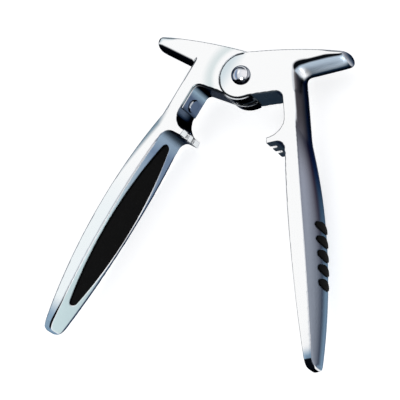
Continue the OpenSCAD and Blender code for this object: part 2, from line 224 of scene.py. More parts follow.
def length(name, description, millimetres):
    """A length that a user can change."""
    return FloatProperty(name=name, description=description, default=millimetres * MM, unit="LENGTH")


def passes(name, description, number):
    """A number of passes that a user can change."""
    return IntProperty(name=name, description=description, default=number, min=0)


def colour(name, description, red, green, blue):
    """A colour that a user can change."""
    return FloatVectorProperty(
        name=name, description=description, subtype="COLOR", size=4, default=(red, green, blue, 1))


def angle(name, description, degrees):
    """An angle that a user can change."""
    return FloatProperty(name=name, description=description, default=math.radians(degrees), subtype="ANGLE")


def direction(name, description, *toward):
    """A direction that a user can change."""
    return FloatVectorProperty(name=name, description=description, subtype="XYZ", default=toward)


class CastingSettings(PropertyGroup):
    """Shape and finish of the two cast levers, and the painted reflections, highlights and shade in their
    colours
    """

    lean: angle("Lean", "Angle of each lever from the middle line", 19)
    flat_side: length("Flat side", "Distance from the pivot to the line of the flat inner side", 20.4)
    step: length("Mesh step", "Step of the even mesh of a casting", 0.43)
    reach: length("Rounding reach", "How far the rounding reaches from a sharp edge", 4.0)
    rounds: passes("Rounding passes", "Passes that round the edges", 160)
    polished: colour("Polished", "Polished front", 0.86, 0.865, 0.87)
    # Painted shade on the polished front: darker, bluer tones round the knuckle, on the ear, down the left
    # handle and along the left shoulder stand for reflections
    dish: colour("Dish", "Shallow dish beside the knuckle", 0.64, 0.70, 0.71)
    band_shade: colour("Band", "Polished front of the left handle", 0.77, 0.82, 0.84)
    ear: colour("Ear", "Polished ear on the left of the rivet", 0.58, 0.66, 0.70)
    shoulder: colour("Shoulder", "Front of the left neck along its outer edge", 0.19, 0.27, 0.33)
    # Painted reflection and shade on the satin outer sides: light toward the front, dark at the crest, blue
    # toward the back, and darker just under the horn
    neck_top: colour("Neck top", "Outer side just under the horn", 0.068, 0.062, 0.070)
    neck_deep: colour("Neck top middle", "Outer side just under the horn at its crest", 0.028, 0.027, 0.032)
    neck_edge: colour("Neck top edge", "Front of the outer side just under the horn", 0.24, 0.235, 0.24)
    neck_light: colour("Neck front", "Outer side of the neck, toward the front", 0.30, 0.32, 0.385)
    neck_dark: colour("Neck middle", "Outer side of the neck at its crest", 0.055, 0.042, 0.055)
    neck_back: colour("Neck back", "Outer side of the neck, toward the back", 0.06, 0.10, 0.15)
    grip_light: colour("Handle front", "Outer side of the handle, toward the front", 0.29, 0.32, 0.375)
    grip_dark: colour("Handle middle", "Outer side of the handle at its crest", 0.070, 0.083, 0.112)
    grip_back: colour("Handle back", "Outer side of the handle, toward the back", 0.26, 0.37, 0.48)
    # Painted reflection and shade on the brushed inner side: blue-grey round the pad's top, light beside and
    # below the pad
    rim_top: colour("Rim top", "Brushed inner side above the pad", 0.28, 0.37, 0.47)
    rim_middle: colour("Rim middle", "Brushed inner side beside the pad", 0.58, 0.70, 0.73)
    rim_tip: colour("Rim tip", "Brushed inner side below the pad", 0.56, 0.68, 0.69)
    rim_back_top: colour("Back rim top", "Brushed inner side round the pad's top", 0.19, 0.26, 0.37)
    rim_back: colour("Back rim", "Brushed inner side behind the pad", 0.38, 0.49, 0.59)
    # Painted highlight: a bright line behind the pad
    bevel: colour("Bevel", "Bright line behind the pad", 0.97, 0.98, 0.98)
    # Painted shade: a dark line along the back edge of the inner side
    rim_edge: colour("Rim edge", "Back edge of the brushed inner side", 0.035, 0.055, 0.10)
    # Painted shade on the wall just below the leaf spring
    wall: colour("Wall", "Wall just below the leaf spring", 0.10, 0.13, 0.18)
    lip: colour("Lip", "Ends of the teeth", 0.80, 0.82, 0.83)
    # Painted reflection and shade on the horn: a light stripe on its underside, dark at its bottom, and
    # painted shade on its end and where its front turns to the end
    horn_light: colour("Horn", "Round underside of the horn", 0.56, 0.66, 0.75)
    horn_dark: colour("Horn bottom", "Lowest part of the horn's underside", 0.015, 0.03, 0.05)
    horn_end: colour("Horn end", "Rounded end of the horn", 0.12, 0.14, 0.18)
    horn_turn: colour("Horn turn", "Front of the horn where it turns to its end", 0.46, 0.48, 0.52)
    # Painted highlight in the hollow between horn and neck
    corner: colour("Corner", "Hollow between horn and neck", 0.98, 0.98, 0.98)
    # Painted shade where the tip's front turns down, and on the left tip's end
    tip: colour("Tip", "Front of the tip where it turns down", 0.24, 0.35, 0.46)
    # Painted shade on the head's top edge
    top: colour("Top", "Top edge of the head", 0.45, 0.47, 0.50)
    # Painted shade in the space above the jaws
    cavity_shade: colour("Cavity", "Space above the jaws", 0.070, 0.082, 0.092)
    # Painted dark reflection: near-black colour where the chrome turns away from the front
    black: colour("Painted dark reflection", "Edges that turn away from the front", 0.003, 0.004, 0.006)


class SteelSettings(PropertyGroup):
    """Shape and finish of the leaf spring and the rivets, and the painted reflections, highlights and shade
    in their colours
    """

    step: length("Mesh step", "Step of the even mesh of the strip and the rivets", 0.2)
    reach: length("Rounding reach", "How far the rounding reaches from a sharp edge", 0.5)
    rounds: passes("Rounding passes", "Passes that round the edges", 6)
    # Painted shade: the blued steel goes near black under the roof and at the strip's lower end
    blued: colour("Blued steel", "Leaf spring under the roof", 0.010, 0.012, 0.016)
    # The spring's own blued tone on its wall; on the domed rivet it is a tone of the painted reflection
    drawn: colour("Drawn steel", "Leaf spring on the wall", 0.11, 0.15, 0.23)
    # Painted reflection where the spring bends toward the roof
    bend_reflection: colour("Bent steel", "Leaf spring where it turns to the roof", 0.30, 0.42, 0.52)
    # Painted shadow on the domed rivet's lower side
    shadow: colour("Rivet shadow", "Lower side of the domed rivet", 0.006, 0.007, 0.010)
    # Painted blue reflection on the domed rivet's left side
    sheen: colour("Rivet sheen", "Left side of the domed rivet", 0.20, 0.29, 0.45)
    # Bare steel's own tone on the pivot rivet; on the leaf spring's front edges it is a painted highlight
    bright: colour("Bright steel", "Pivot rivet and bare edges of the leaf spring", 0.60, 0.62, 0.65)
    # Painted highlight in the middle of the domed rivet
    crown: colour("Rivet crown", "Middle of the domed rivet", 0.98, 0.98, 0.98)


class RubberSettings(PropertyGroup):
    """Shape and finish of the grip pads and the nubs"""

    pad_step: length("Pad mesh step", "Step of the even mesh of a pad", 0.35)
    nub_step: length("Nub mesh step", "Step of the even mesh of a nub", 0.22)
    reach: length("Rounding reach", "How far the rounding reaches from a sharp edge", 1.2)
    rounds: passes("Rounding passes", "Passes that round the edges", 8)
    rubber: colour("Rubber", "Pads and nubs", 0.002, 0.002, 0.002)


class StageSettings(PropertyGroup):
    """Floor, lights and camera"""

    floor: colour("Floor", "Colour of the floor", 0.62, 0.62, 0.62)
    glow: FloatProperty(name="Floor glow", description="Light that the floor gives off", default=0.62)
    horizon: colour("Horizon", "Room at the horizon", 0.03, 0.04, 0.06)
    sky: colour("Sky", "Room overhead", 0.72, 0.75, 0.80)
    side: colour("Side light", "Soft light on the right", 0.85, 0.85, 0.88)
    side_direction: direction("Side direction", "Direction toward the light on the right", 0.88, 0.30, 0.36)
    key: colour("Key light", "Big soft light overhead and soft light low on the left", 1.1, 1.1, 1.1)
    key_direction: direction("Key direction", "Direction toward the big soft light", -0.50, 0.30, 0.80)
    low_direction: direction(
        "Low direction", "Direction toward the soft light low on the left", -0.72, -0.45, 0.50)
    azimuth: angle("Azimuth", "Direction of the camera, seen from above", 62.49)
    elevation: angle("Elevation", "Height of the camera above the horizon", 57.4)
    roll: angle("Roll", "Turn of the camera about its line of sight", 51.85)
    distance: length("Distance", "Distance from the camera to its aim", 1188.6)
    aim: FloatVectorProperty(
        name="Aim", description="Point at the middle of the picture", subtype="XYZ", unit="LENGTH",
        default=(-0.00902, -0.06208, 0.01030))
    lens: FloatProperty(name="Lens", description="Focal length of the camera in millimetres", default=223.8)


def only(piece):
    """Leave one object selected and active."""
    bpy.ops.object.select_all(action="DESELECT")
    piece.select_set(True)
    bpy.context.view_layer.objects.active = piece


def apply(piece, modifier):
    """Apply a modifier."""
    only(piece)
    bpy.ops.object.modifier_apply(modifier=modifier.name)


def merged_copy(node, name):
    """A copy of a node's mesh as one closed skin, as a new object at the origin."""
    piece = bpy.data.objects.new(name, frame["nodes"][node].data.copy())
    piece.data.name = name
    piece.data.materials.clear()
    bpy.context.scene.collection.objects.link(piece)
    only(piece)
    bpy.ops.object.mode_set(mode="EDIT")
    bpy.ops.mesh.select_all(action="SELECT")
    bpy.ops.mesh.customdata_custom_splitnormals_clear()
    bpy.ops.mesh.remove_doubles(threshold=MERGE)
    bpy.ops.object.mode_set(mode="OBJECT")
    return piece


def sharp_points(guide, spacing):
    """Points along the sharp edges of a merged copy."""
    only(guide)
    bpy.ops.object.mode_set(mode="EDIT")
    bpy.ops.mesh.select_mode(type="EDGE")
    bpy.ops.mesh.select_all(action="DESELECT")
    bpy.ops.mesh.edges_select_sharp(sharpness=SHARP)
    bpy.ops.object.mode_set(mode="OBJECT")
    points = []
    for edge in guide.data.edges:
        if edge.select:
            start, end = (guide.data.vertices[i].co for i in edge.vertices)
            steps = max(1, math.ceil((end - start).length / spacing))
            points += [start.lerp(end, i / steps) for i in range(steps + 1)]
    return points


def turn_mesh(piece, turn):
    """Turn a mesh about the pivot axis and leave its object unturned."""
    only(piece)
    piece.rotation_euler.z = turn
    bpy.ops.object.transform_apply(location=False, rotation=True, scale=False)


def everywhere(place):
    """Softness, share of the reach, and least softness of a piece that is rounded alike all over."""
    return 1.0, 1.0, EVEN


def within(value):
    """A value held between 0 and 1."""
    return min(1.0, max(0.0, value))


def casting_softness(side):
    """The rounding of a casting by place: softness, share of the reach, and least softness."""
    settings = bpy.context.scene.opener_casting
    turn = Matrix.Rotation(-settings.lean, 3, "Z")

    def softness(place):
        own = turn @ Vector((SIDES[side] * place.x, place.y, 0))
        outward = own.x - settings.flat_side
        at_middle = abs(place.z - MID_HEIGHT) < NUBS_HALF_WIDTH
        at_nubs = own.y < NUBS_TOP and at_middle and outward > NUBS_OUT
        if own.length < KNUCKLE_RADIUS or at_nubs:
            return CRISP, 1.0, EVEN
        if own.y < TIP_TOP:
            return TIP_SOFT, 1.0, TIP_LEAST
        if own.y > HORN_LOW and outward > HORN_OUT:
            at_end = within((own.x - END_START) / END_LENGTH)
            soft = HEAD_SOFT + END_SOFT * at_end
            share = 1.0 + END_REACH * at_end
            if own.y >= HORN_MIDDLE:
                return soft, share, EVEN
            at_saddle = SADDLE_SHARE[side] * within((SADDLE_START - own.x) / SADDLE_LENGTH)
            return soft + SADDLE_SOFT * at_saddle, share + SADDLE_REACH * at_saddle, HORN_LEAST
        if own.y > HEAD_LOW:
            return HEAD_SOFT, 1.0, EVEN
        if outward > OUTER_OUT and place.z > MID_HEIGHT + FRONT_HEIGHT:
            return FRONT_SOFT, 1.0, EVEN
        if outward > OUTER_OUT:
            at_neck = within(1.0 - abs(own.y - NECK_MIDDLE) / NECK_HALF_LENGTH)
            return OUTER_SOFT + NECK_SOFT * at_neck, 1.0 + NECK_REACH * at_neck, EVEN + NECK_LEAST * at_neck
        return RIM_SOFT if own.y < RIM_TOP else JAW_SOFT, 1.0, EVEN

    return softness


def soft_edged(node, name, step, settings, softness=everywhere, lean=0.0):
    """A piece with a node's shape, an even mesh and rounded edges."""
    guide = merged_copy(node, name + "_guide")
    piece = merged_copy(node, name)
    turn_mesh(piece, lean)
    even = piece.modifiers.new("Even mesh", "REMESH")
    even.mode = "VOXEL"
    even.voxel_size = step
    apply(piece, even)
    turn_mesh(piece, -lean)
    seat = piece.modifiers.new("On the solid", "SHRINKWRAP")
    seat.target = guide
    apply(piece, seat)

    points = sharp_points(guide, step / EDGE_POINTS)
    tree = KDTree(len(points))
    for i, point in enumerate(points):
        tree.insert(point, i)
    tree.balance()
    group = piece.vertex_groups.new(name="edges")
    for vertex in piece.data.vertices:
        point, _, distance = tree.find(vertex.co)
        if distance < SNAP * step:
            vertex.co = point
        weight, share, least = softness(vertex.co)
        near = max(0.0, 1.0 - distance / (share * settings.reach))
        group.add([vertex.index], max(near * weight, least), "REPLACE")
    bpy.data.objects.remove(guide)

    rounding = piece.modifiers.new("Rounded edges", "SMOOTH")
    rounding.factor = ROUNDING
    rounding.iterations = settings.rounds
    rounding.vertex_group = group.name
    apply(piece, rounding)
    piece.vertex_groups.clear()
    only(piece)
    bpy.ops.object.shade_smooth()
    return piece


def fit(piece, node, body, material):
    """Put a piece in the place of its node."""
    piece.data.materials.append(material)
    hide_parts(node)
    if body:
        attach(piece, body)


def new_material(name):
    """A node material and its shader."""
    material = bpy.data.materials.new(name)
    material.use_nodes = True
    return material, material.node_tree.nodes["Principled BSDF"]


def put(material, socket, value):
    """Link a socket to another one, or set its value."""
    if isinstance(value, bpy.types.NodeSocket):
        material.node_tree.links.new(value, socket)
    else:
        socket.default_value = value


def map_range(material, value, low, high, to_low, to_high):
    """Map a value smoothly from one span to another."""
    node = material.node_tree.nodes.new("ShaderNodeMapRange")
    node.interpolation_type = "SMOOTHSTEP"
    put(material, node.inputs["Value"], value)
    put(material, node.inputs["From Min"], low)
    put(material, node.inputs["From Max"], high)
    put(material, node.inputs["To Min"], to_low)
    put(material, node.inputs["To Max"], to_high)
    return node.outputs["Result"]


def mask(material, value, start, full):
    """A mask that starts at one value and is full at another, above or below it."""
    return map_range(material, value, start, full, 0.0, 1.0)


def roughness(material, noise, smooth, rough):
    """A roughness that follows a noise."""
    return map_range(material, noise, *NOISE_SPAN, smooth, rough)


def math_step(material, operation, first, second=0.0):
    """One step of arithmetic."""
    node = material.node_tree.nodes.new("ShaderNodeMath")
    node.operation = operation
    put(material, node.inputs[0], first)
    put(material, node.inputs[1], second)
    return node.outputs[0]


def overlap(material, first, *others):
    """Where masks are all set."""
    for other in others:
        first = math_step(material, "MULTIPLY", first, other)
    return first


def outside(material, area):
    """Where a mask isn't set."""
    return math_step(material, "SUBTRACT", 1.0, area)


def mix(material, kind, share, low, high):
    """Mix two values or colours by a share."""
    node = material.node_tree.nodes.new("ShaderNodeMix")
    node.data_type = kind
    *ends, result = MIX_SOCKETS[kind]
    for end, value in zip(ends, (share, low, high)):
        put(material, node.inputs[end], value)
    return node.outputs[result]


def mix_value(material, share, low, high):
    """Mix two values by a share."""
    return mix(material, "FLOAT", share, low, high)


def paint(material, base, *layers):
    """Lay colours over a base, each where its mask is set."""
    for area, shade in layers:
        base = mix(material, "RGBA", area, base, shade)
    return base


def ramp(material, value, *stops):
    """Colours along a value, from rising stops of a value and a colour."""
    nodes = material.node_tree.nodes
    low, high = stops[0][0], stops[-1][0]
    share = nodes.new("ShaderNodeMapRange")
    put(material, share.inputs["Value"], value)
    put(material, share.inputs["From Min"], low)
    put(material, share.inputs["From Max"], high)
    colours = nodes.new("ShaderNodeValToRGB")
    elements = colours.color_ramp.elements
    elements[0].color = stops[0][1]
    elements[1].color = stops[-1][1]
    for place, shade in stops[1:-1]:
        elements.new((place - low) / (high - low)).color = shade
    put(material, colours.inputs["Fac"], share.outputs["Result"])
    return colours.outputs["Color"]


def pointing(material, vector, toward):
    """How much a vector points in a direction."""
    node = material.node_tree.nodes.new("ShaderNodeVectorMath")
    node.operation = "DOT_PRODUCT"
    put(material, node.inputs[0], vector)
    put(material, node.inputs[1], toward)
    return node.outputs["Value"]


def scaled(shade, factor):
    """A colour times a factor."""
    return tuple(factor * value for value in shade[:3]) + (1,)


def new_group(name, inputs, outputs):
    """An empty node group with its named sockets: inputs by kind, and outputs that are values."""
    group = bpy.data.node_groups.new(name, "ShaderNodeTree")
    for socket, kind in inputs.items():
        group.interface.new_socket(socket, in_out="INPUT", socket_type=kind)
    for socket in outputs:
        group.interface.new_socket(socket, in_out="OUTPUT", socket_type="NodeSocketFloat")
    return group, group.nodes.new("NodeGroupInput"), group.nodes.new("NodeGroupOutput")


def grain_group():
    """Shared effect: fine grain and coarser patches, as two masks."""
    name = "Fine grain"
    if name in bpy.data.node_groups:
        return bpy.data.node_groups[name]
    inputs = {"Place": "NodeSocketVector", "Scale": "NodeSocketFloat"}
    group, entry, leave = new_group(name, inputs, ("Mask", "Patches"))
    coarse = group.nodes.new("ShaderNodeMath")
    coarse.operation = "MULTIPLY"
    coarse.inputs[1].default_value = PATCH_SCALE
    group.links.new(entry.outputs["Scale"], coarse.inputs[0])
    for result, scale, detail in (("Mask", entry.outputs["Scale"], 3), ("Patches", coarse.outputs[0], 2)):
        noise = group.nodes.new("ShaderNodeTexNoise")
        noise.inputs["Detail"].default_value = detail
        group.links.new(entry.outputs["Place"], noise.inputs["Vector"])
        group.links.new(scale, noise.inputs["Scale"])
        group.links.new(noise.outputs["Fac"], leave.inputs[result])
    return group


def add_grain(material, scale, stretch):
    """Place the shared grain in a material, stretched along each axis."""
    nodes = material.node_tree.nodes
    coordinates = nodes.new("ShaderNodeTexCoord")
    mapping = nodes.new("ShaderNodeMapping")
    put(material, mapping.inputs["Vector"], coordinates.outputs["Object"])
    put(material, mapping.inputs["Scale"], stretch)
    grain = nodes.new("ShaderNodeGroup")
    grain.node_tree = grain_group()
    put(material, grain.inputs["Place"], mapping.outputs["Vector"])
    put(material, grain.inputs["Scale"], scale)
    return grain.outputs, coordinates.outputs


def lever_group():
    """Shared effect: place in millimetres and normal in a lever's own frame, and the lever's side."""
    name = "Lever frame"
    if name in bpy.data.node_groups:
        return bpy.data.node_groups[name]
    settings = bpy.context.scene.opener_casting
    inputs = {"Place": "NodeSocketVector", "Normal": "NodeSocketVector"}
    places = ("Out", "Along", "Height")
    normals = ("Facing out", "Facing along", "Facing up")
    group, entry, leave = new_group(name, inputs, ("Side",) + places + normals)
    place = group.nodes.new("ShaderNodeSeparateXYZ")
    group.links.new(entry.outputs["Place"], place.inputs[0])
    side = group.nodes.new("ShaderNodeMath")
    side.operation = "SIGN"
    group.links.new(place.outputs["X"], side.inputs[0])
    group.links.new(side.outputs[0], leave.inputs["Side"])
    mirror = group.nodes.new("ShaderNodeCombineXYZ")
    mirror.inputs["Y"].default_value = 1
    mirror.inputs["Z"].default_value = 1
    group.links.new(side.outputs[0], mirror.inputs["X"])
    for source, size, results in (("Place", 1 / MM, places), ("Normal", 1.0, normals)):
        flip = group.nodes.new("ShaderNodeVectorMath")
        flip.operation = "MULTIPLY"
        group.links.new(entry.outputs[source], flip.inputs[0])
        group.links.new(mirror.outputs[0], flip.inputs[1])
        turn = group.nodes.new("ShaderNodeVectorRotate")
        turn.rotation_type = "Z_AXIS"
        turn.inputs["Angle"].default_value = -settings.lean
        group.links.new(flip.outputs[0], turn.inputs["Vector"])
        scale = group.nodes.new("ShaderNodeVectorMath")
        scale.operation = "SCALE"
        scale.inputs["Scale"].default_value = size
        group.links.new(turn.outputs[0], scale.inputs[0])
        split = group.nodes.new("ShaderNodeSeparateXYZ")
        group.links.new(scale.outputs[0], split.inputs[0])
        for axis, result in zip("XYZ", results):
            group.links.new(split.outputs[axis], leave.inputs[result])
    return group


def lever_frame(material, coordinates):
    """Place and normal in the lever's own frame."""
    lever = material.node_tree.nodes.new("ShaderNodeGroup")
    lever.node_tree = lever_group()
    put(material, lever.inputs["Place"], coordinates["Object"])
    put(material, lever.inputs["Normal"], coordinates["Normal"])
    return lever.outputs


def distance_from(material, own, place):
    """Distance in millimetres from a place in the lever's own frame, along the axes that it names."""
    squares = 0.0
    for axis, start in place.items():
        step = math_step(material, "SUBTRACT", own[axis], start)
        squares = math_step(material, "ADD", math_step(material, "MULTIPLY", step, step), squares)
    return math_step(material, "SQRT", squares)


def above_edge(material, own, middle, lowest, curve):
    """Height in millimetres above a bowed edge."""
    along = math_step(material, "SUBTRACT", own["Along"], middle)
    square = math_step(material, "MULTIPLY", along, along)
    edge = math_step(material, "ADD", math_step(material, "MULTIPLY", square, curve), lowest)
    return math_step(material, "SUBTRACT", own["Height"], edge)


def front_colour(material, own, left, at_tip):
    """Polished front, with a painted shade ring beside the knuckle, painted shade on the ear left of the
    rivet and down the left handle, and painted shade where the tips turn down.
    """
    settings = bpy.context.scene.opener_casting
    away = distance_from(material, own, PIVOT)
    # Painted shade: a darker ring beside the knuckle, and on the ear left of the rivet
    dish = overlap(material, left, mask(material, away, *DISH_INSIDE_SPAN),
                   mask(material, away, *DISH_OUTSIDE_SPAN))
    ear = overlap(material, left, mask(material, away, *EAR_SPAN), mask(material, own["Out"], *EAR_SIDE_SPAN))
    # Painted shade down the left handle's front
    lower = overlap(material, left, mask(material, own["Along"], *BAND_SPAN))
    # Painted shade where the tips turn down
    turned = mix_value(material, left, mask(material, own["Along"], *RIGHT_TURN_SPAN),
                       mask(material, own["Along"], *LEFT_TURN_SPAN))
    return paint(
        material, settings.polished,
        (dish, settings.dish),
        (ear, settings.ear),
        (lower, settings.band_shade),
        (overlap(material, at_tip, turned), settings.tip))


def shoulder_shade_mask(material, own, left):
    """Where painted shade lies on the front of the left neck, along its outer edge."""
    away = math_step(material, "ABSOLUTE", math_step(material, "SUBTRACT", own["Along"], SHOULDER_MIDDLE))
    taper = math_step(material, "MULTIPLY", away, SHOULDER_TAPER)
    near = mask(material, math_step(material, "SUBTRACT", own["Out"], taper), *SHOULDER_SPAN)
    in_front = mask(material, own["Facing up"], 0.1, 0.3)
    return overlap(material, left, near, in_front, mask(material, own["Along"], *SHOULDER_TOP_SPAN),
                   mask(material, own["Along"], *SHOULDER_LOW_SPAN))


def painted_dark_line_mask(material, own, left):
    """Painted dark line between the left tip's front and its flat inner side."""
    width = map_range(material, own["Along"], *DARK_LINE_WIDENS, 0.0, DARK_LINE_WIDTH)
    near = mask(material, math_step(material, "SUBTRACT", own["Out"], width), *DARK_LINE_SPAN)
    in_front = mask(material, own["Facing up"], 0.25, 0.50)
    return overlap(material, left, near, in_front, mask(material, own["Along"], *DARK_LINE_TOP_SPAN),
                   mask(material, own["Along"], *DARK_LINE_LOW_SPAN))


def outer_colour(material, own, left):
    """Painted reflection on the satin outer side: light toward the front, dark at its crest and blue toward
    the back, with painted shade just under the horn and on the horn's end.
    """
    settings = bpy.context.scene.opener_casting
    across = own["Facing up"]
    rise = math_step(material, "SUBTRACT", own["Height"], CREST_HEIGHT)
    slope = mix_value(material, 0.5, across, math_step(material, "DIVIDE", rise, CREST_RISE))
    # Painted reflection: colours chosen by which way the side faces
    neck = ramp(material, slope, (-0.40, settings.neck_back), (0.02, settings.neck_back),
                (0.26, settings.neck_dark), (0.76, settings.neck_light))
    grip = ramp(material, across, (-0.38, settings.grip_back), (-0.09, settings.grip_back),
                (0.14, settings.grip_dark), (0.60, settings.grip_light))
    # Painted shade just under the horn
    top = ramp(material, across, (0.0, settings.horn_dark), (0.35, settings.neck_deep),
               (0.68, settings.neck_top), (0.92, settings.neck_edge))
    # Painted shade on the horn's rounded end and where its front turns to it
    end = ramp(material, own["Facing out"], (0.20, settings.polished), (0.55, settings.horn_turn),
               (0.85, settings.horn_end), (1.0, settings.horn_dark))
    return paint(
        material, neck,
        (mask(material, own["Along"], *GRIP_SPAN), grip),
        (mask(material, own["Along"], *NECK_TOP_SPAN), paint(material, top, (left, settings.band_shade))),
        (mask(material, own["Out"], *HORN_FAR_SPAN), end))


def inner_colour(material, own):
    """Painted reflection and shade on the brushed inner side round the pad, with painted highlight lines and
    painted dark lines, and bright teeth above it.
    """
    settings = bpy.context.scene.opener_casting
    along = own["Along"]
    # Painted reflection along the inner side, with painted shade under the teeth and on the wall below the
    # spring
    front = ramp(material, along, (-152.0, settings.rim_tip), (-92.0, settings.rim_middle),
                 (-60.0, settings.rim_top), (-52.0, settings.rim_back_top), (-46.0, settings.rim_top),
                 (-44.0, settings.rim_top), (-39.0, settings.black), (-31.5, settings.black),
                 (-29.0, settings.wall), (-26.5, settings.wall), (-24.0, settings.rim_tip))
    back = ramp(material, along, (-152.0, settings.rim_tip), (-110.0, settings.rim_back),
                (-57.0, settings.rim_back_top), (-50.0, settings.rim_back_top), (-46.0, settings.rim_top),
                (-44.0, settings.rim_top), (-39.0, settings.black))
    # Near the tip: a painted highlight line and painted dark lines on the rounded edges of the inner side
    edge = ramp(material, own["Facing out"], (-1.0, settings.rim_tip), (-0.93, settings.polished),
                (-0.82, settings.polished), (-0.68, settings.black), (-0.40, settings.black))
    edge = paint(material, edge, (mask(material, own["Facing up"], 0.0, -0.2), settings.rim_edge))
    on_rim = mask(material, along, *RIM_SPAN)
    # Painted highlight on the upper rim where it turns toward the front
    lit = overlap(material, on_rim, mask(material, own["Facing up"], 0.12, 0.35))
    above_pad = above_edge(material, own, *PAD_BACK)
    # Painted highlight: a bright line just behind the pad
    bevel = overlap(material, mask(material, along, *BEVEL_TOP_SPAN), mask(material, along, *BEVEL_LOW_SPAN),
                    mask(material, above_pad, *BEVEL_FRONT_SPAN), mask(material, above_pad, *BEVEL_BACK_SPAN))
    # Painted shade: a dark line along the back edge of the rim
    above_back = above_edge(material, own, *HANDLE_BACK)
    back_line = overlap(material, on_rim, mask(material, above_back, *BACK_LINE_SPAN))
    return paint(
        material, front,
        (mask(material, own["Height"], *BACK_HALF_SPAN), back),
        (lit, settings.polished),
        (bevel, settings.bevel),
        (mask(material, along, *RIM_END_SPAN), edge),
        (back_line, settings.rim_edge),
        (mask(material, own["Out"], *LIP_SPAN), settings.lip))


def under_colour(material, own, left, at_tip):
    """Painted shade and reflection on the undersides: a dark roof over the cork space, a striped right horn
    and a black left one, and dark tip ends, slate on the left, with a painted highlight where the right tip's
    end turns outward.
    """
    settings = bpy.context.scene.opener_casting
    # Painted reflection on the right horn's underside: a dark line under the front edge, a light stripe, dark
    # at the bottom; the left horn is painted black
    horn = ramp(material, own["Facing up"], (-0.20, settings.black), (0.10, settings.horn_dark),
                (0.44, settings.horn_light), (0.80, settings.horn_light), (0.89, settings.black),
                (1.0, settings.black))
    horn = paint(material, horn, (left, settings.black))
    # Painted highlight where the right tip's end turns outward, on a painted dark end
    wedge = mask(material, own["Facing out"], 0.30, 0.45)
    end = paint(material, settings.black, (wedge, settings.polished), (left, settings.tip))
    on_horn = mask(material, own["Out"], *HORN_UNDER_SPAN)
    return paint(material, settings.cavity_shade, (on_horn, horn), (at_tip, end))


def under_mask(material, own, left, on_horn, at_end, on_handle):
    """Where a casting turns down to its undersides, which differs along the horns and at the tips."""
    turned = own["Facing along"]
    left_horn = overlap(material, left, on_horn)
    left_root = overlap(material, left_horn, mask(material, own["Out"], *ROOT_SPAN),
                        mask(material, own["Height"], *ROOT_HEIGHT_SPAN))
    under = mix_value(material, on_horn, mask(material, turned, -0.25, -0.85),
                      mask(material, turned, -0.06, -0.18))
    under = mix_value(material, left_horn, under, mask(material, turned, -0.68, -0.78))
    under = mix_value(material, left_root, under, mask(material, turned, -0.25, -0.40))
    cap = overlap(material, at_end, outside(material, left), mask(material, own["Facing out"], 0.42, 0.55))
    under = overlap(material, under, outside(material, cap))
    at_side = mask(material, own["Facing out"], 0.25, 0.40)
    tip = mix_value(material, at_side, mask(material, turned, -0.32, -0.42),
                    mask(material, turned, -0.62, -0.76))
    return mix_value(material, on_handle, under, tip)


def level_mask(material, own, left_horn, outer, on_handle):
    """Level faces of a casting, in front and at the back."""
    level = math_step(material, "ABSOLUTE", own["Facing up"])
    horn = overlap(material, left_horn, outside(material, outer))
    faces = mix_value(material, horn, mask(material, level, 0.82, 0.94), mask(material, level, 0.60, 0.70))
    return mix_value(material, on_handle, faces, mask(material, level, 0.78, 0.92))


def make_metal(shader):
    """Make a shader metal that darkens at grazing angles."""
    shader.inputs["Metallic"].default_value = 1.0
    shader.inputs["Specular Tint"].default_value = GRAZING


def chrome_casting():
    """Chrome that is polished on the front and the back, and satin on the sides, with painted reflections,
    highlights and shade in its colour.
    """
    settings = bpy.context.scene.opener_casting
    material, shader = new_material("chrome_casting")
    grain, coordinates = add_grain(material, scale=2600.0, stretch=(1.0, 0.25, 1.0))
    own = lever_frame(material, coordinates)
    left = mask(material, own["Side"], SIDES["right"], SIDES["left"])
    at_tip = mask(material, own["Along"], *TIP_SPAN)
    on_handle = mask(material, own["Along"], *HANDLE_SPAN)
    on_horn = mask(material, own["Out"], *HORN_SPAN)
    at_end = mask(material, own["Out"], *HORN_END_SPAN)

    outer = mask(material, own["Facing out"], 0.20, 0.60)
    inner = mix_value(material, at_tip, mask(material, own["Facing out"], -0.35, -0.80),
                      mask(material, own["Facing out"], -0.22, -0.42))
    under = under_mask(material, own, left, on_horn, at_end, on_handle)
    level = level_mask(material, own, overlap(material, left, on_horn), outer, on_handle)
    polish = overlap(material, level, outside(material, under))
    # Painted shade on the left neck's rounded edge, and on the left horn's rounded end
    neck_edge = overlap(material, left, mask(material, own["Facing out"], 0.0, 0.10))
    # Painted highlight: a white spot in the hollow between the right horn and its neck
    away = distance_from(material, own, HORN_CORNER)
    corner = overlap(material, mask(material, away, *CORNER_HIGHLIGHT_SPAN), outside(material, left))
    left_end = overlap(material, left, at_end, mask(material, own["Facing along"], -0.68, -0.55))
    turn = ramp(material, own["Facing out"], (0.06, settings.polished), (0.14, settings.ear),
                (0.26, settings.ear), (0.36, settings.horn_dark), (1.0, settings.horn_dark))
    # The base is a painted dark reflection, with painted shade on the head's top edge; the other colours are
    # laid over it
    shade = paint(
        material, settings.black,
        (mask(material, own["Along"], *HEAD_TOP_SPAN), settings.top),
        (neck_edge, settings.band_shade),
        (inner, inner_colour(material, own)),
        (outer, outer_colour(material, own, left)),
        (under, under_colour(material, own, left, at_tip)),
        (corner, settings.corner),
        (polish, front_colour(material, own, left, at_tip)),
        (shoulder_shade_mask(material, own, left), settings.shoulder),
        (painted_dark_line_mask(material, own, left), settings.black),
        (left_end, turn))
    put(material, shader.inputs["Base Color"], shade)

    grained = roughness(material, grain["Mask"], 0.36, 0.48)
    smooth = roughness(material, grain["Patches"], 0.24, 0.28)
    bright = roughness(material, grain["Patches"], 0.06, 0.09)
    satin = mix_value(material, on_handle, smooth, grained)
    satin = mix_value(material, overlap(material, under, on_horn), satin, grained)
    put(material, shader.inputs["Roughness"], mix_value(material, polish, satin, bright))
    make_metal(shader)
    return material


